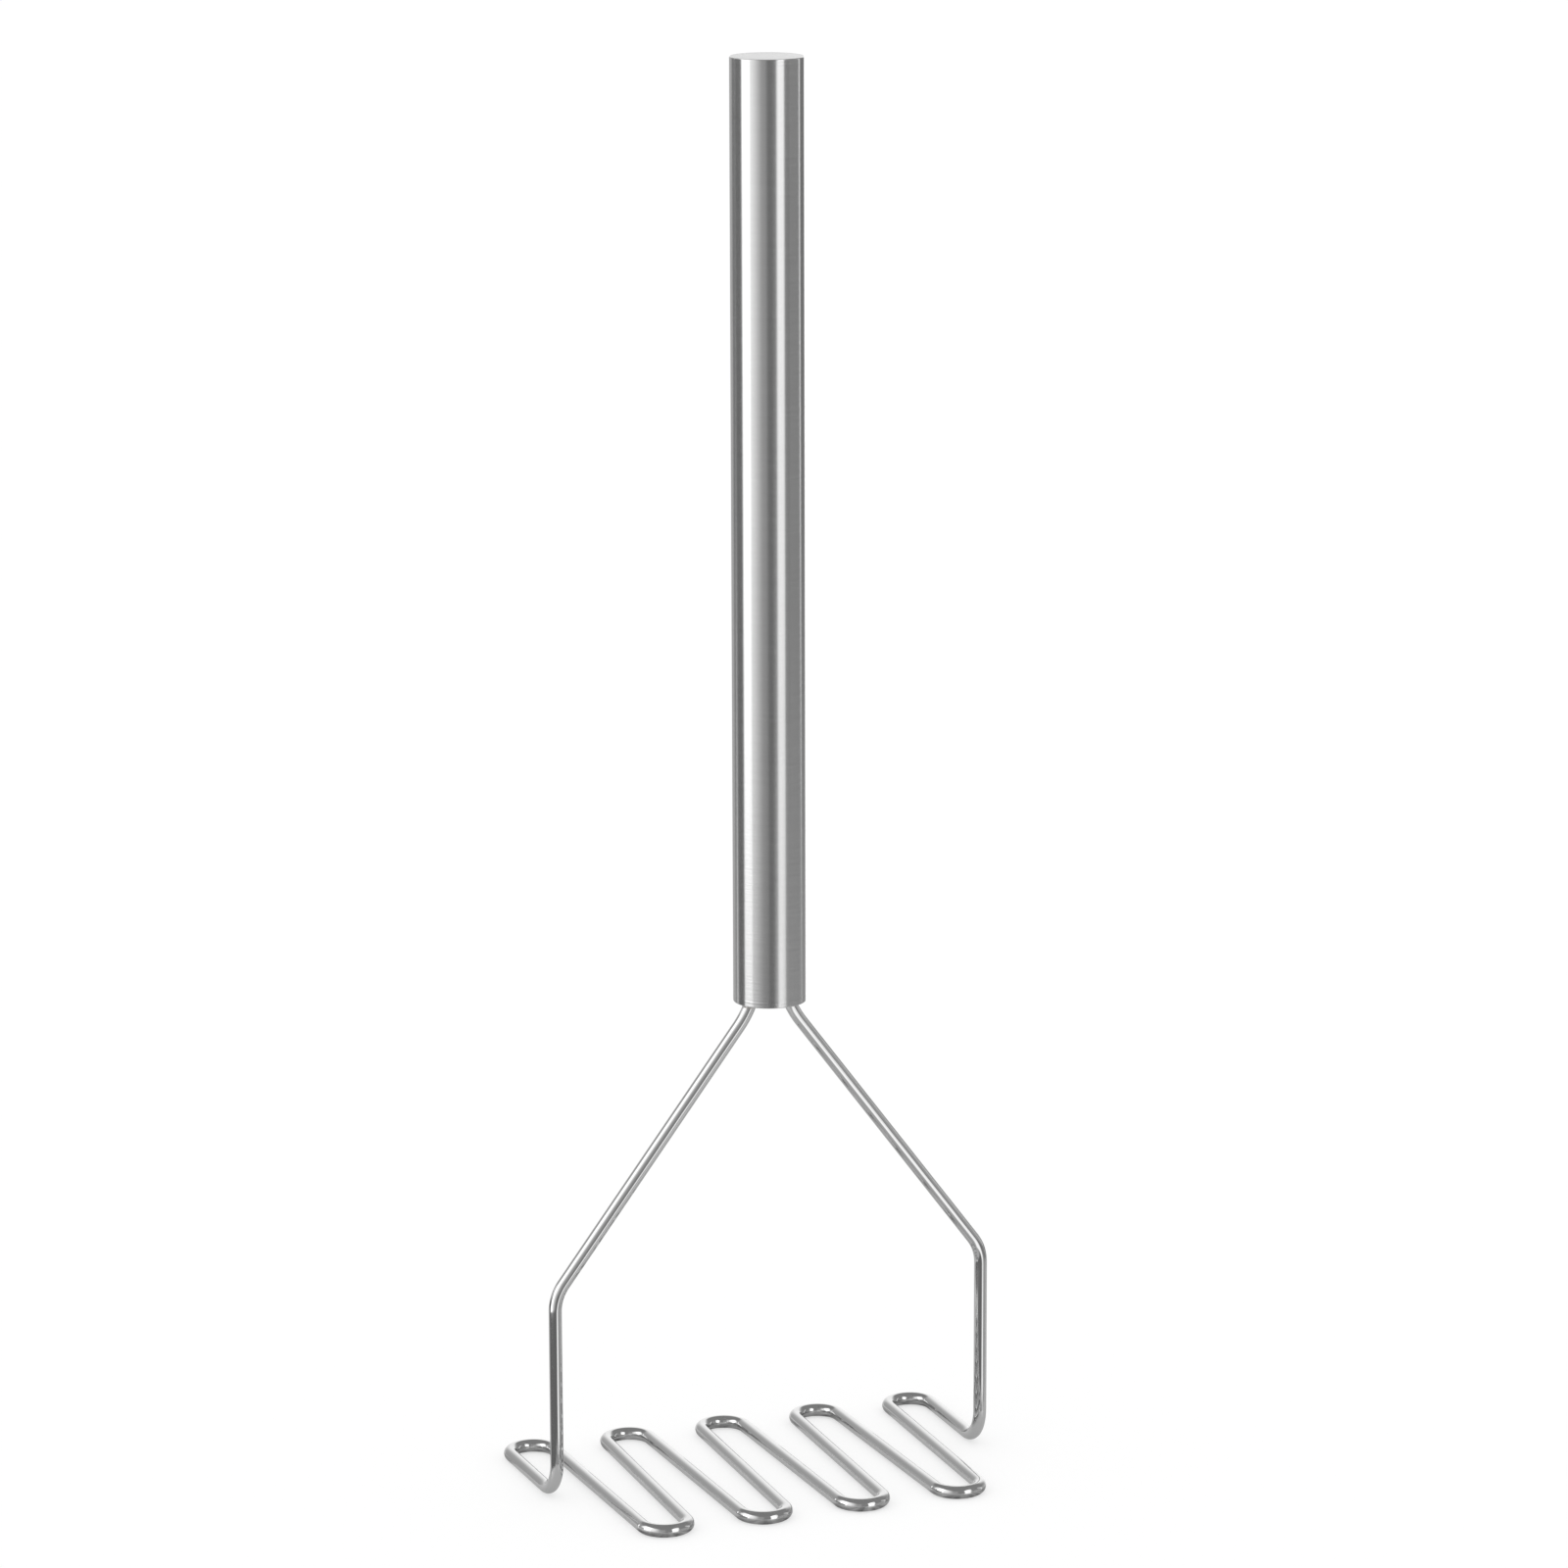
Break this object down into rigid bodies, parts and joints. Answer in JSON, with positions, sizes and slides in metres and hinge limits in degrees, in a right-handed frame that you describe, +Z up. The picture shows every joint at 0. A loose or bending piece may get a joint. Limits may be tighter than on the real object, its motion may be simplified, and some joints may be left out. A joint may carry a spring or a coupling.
{
  "type": "potato masher",
  "caption": "Long-handled steel potato masher: a closed round tube handle on a bent wire frame whose foot is a flat zig-zag grid of open loops.",
  "frame": {"origin": "on the resting plane under the wire grid, at the centre of the grid's length and depth", "axes": "+Z up along the handle, +X along the row of loops, +Y towards the side with five loops"},
  "size_m": [0.1986, 0.1294, 0.6],
  "materials": {
    "satin_tube": "satin stainless steel, brushed lengthwise",
    "ground_disc": "ground flat stainless steel, fine straight grain",
    "ground_weld": "weld ground flush and polished around the handle",
    "polished_wire": "bright polished stainless steel wire",
    "fillet_weld": "pickled fillet weld, dull steel"
  },
  "bodies": {
    "root": {"handle_tube": "satin_tube", "top_end_cap": "ground_disc", "bottom_end_cap": "ground_disc", "top_cap_weld": "ground_weld", "bottom_cap_weld": "ground_weld", "masher_wire": "polished_wire", "left_leg_weld": "fillet_weld", "right_leg_weld": "fillet_weld"}
  },
  "joints": []
}
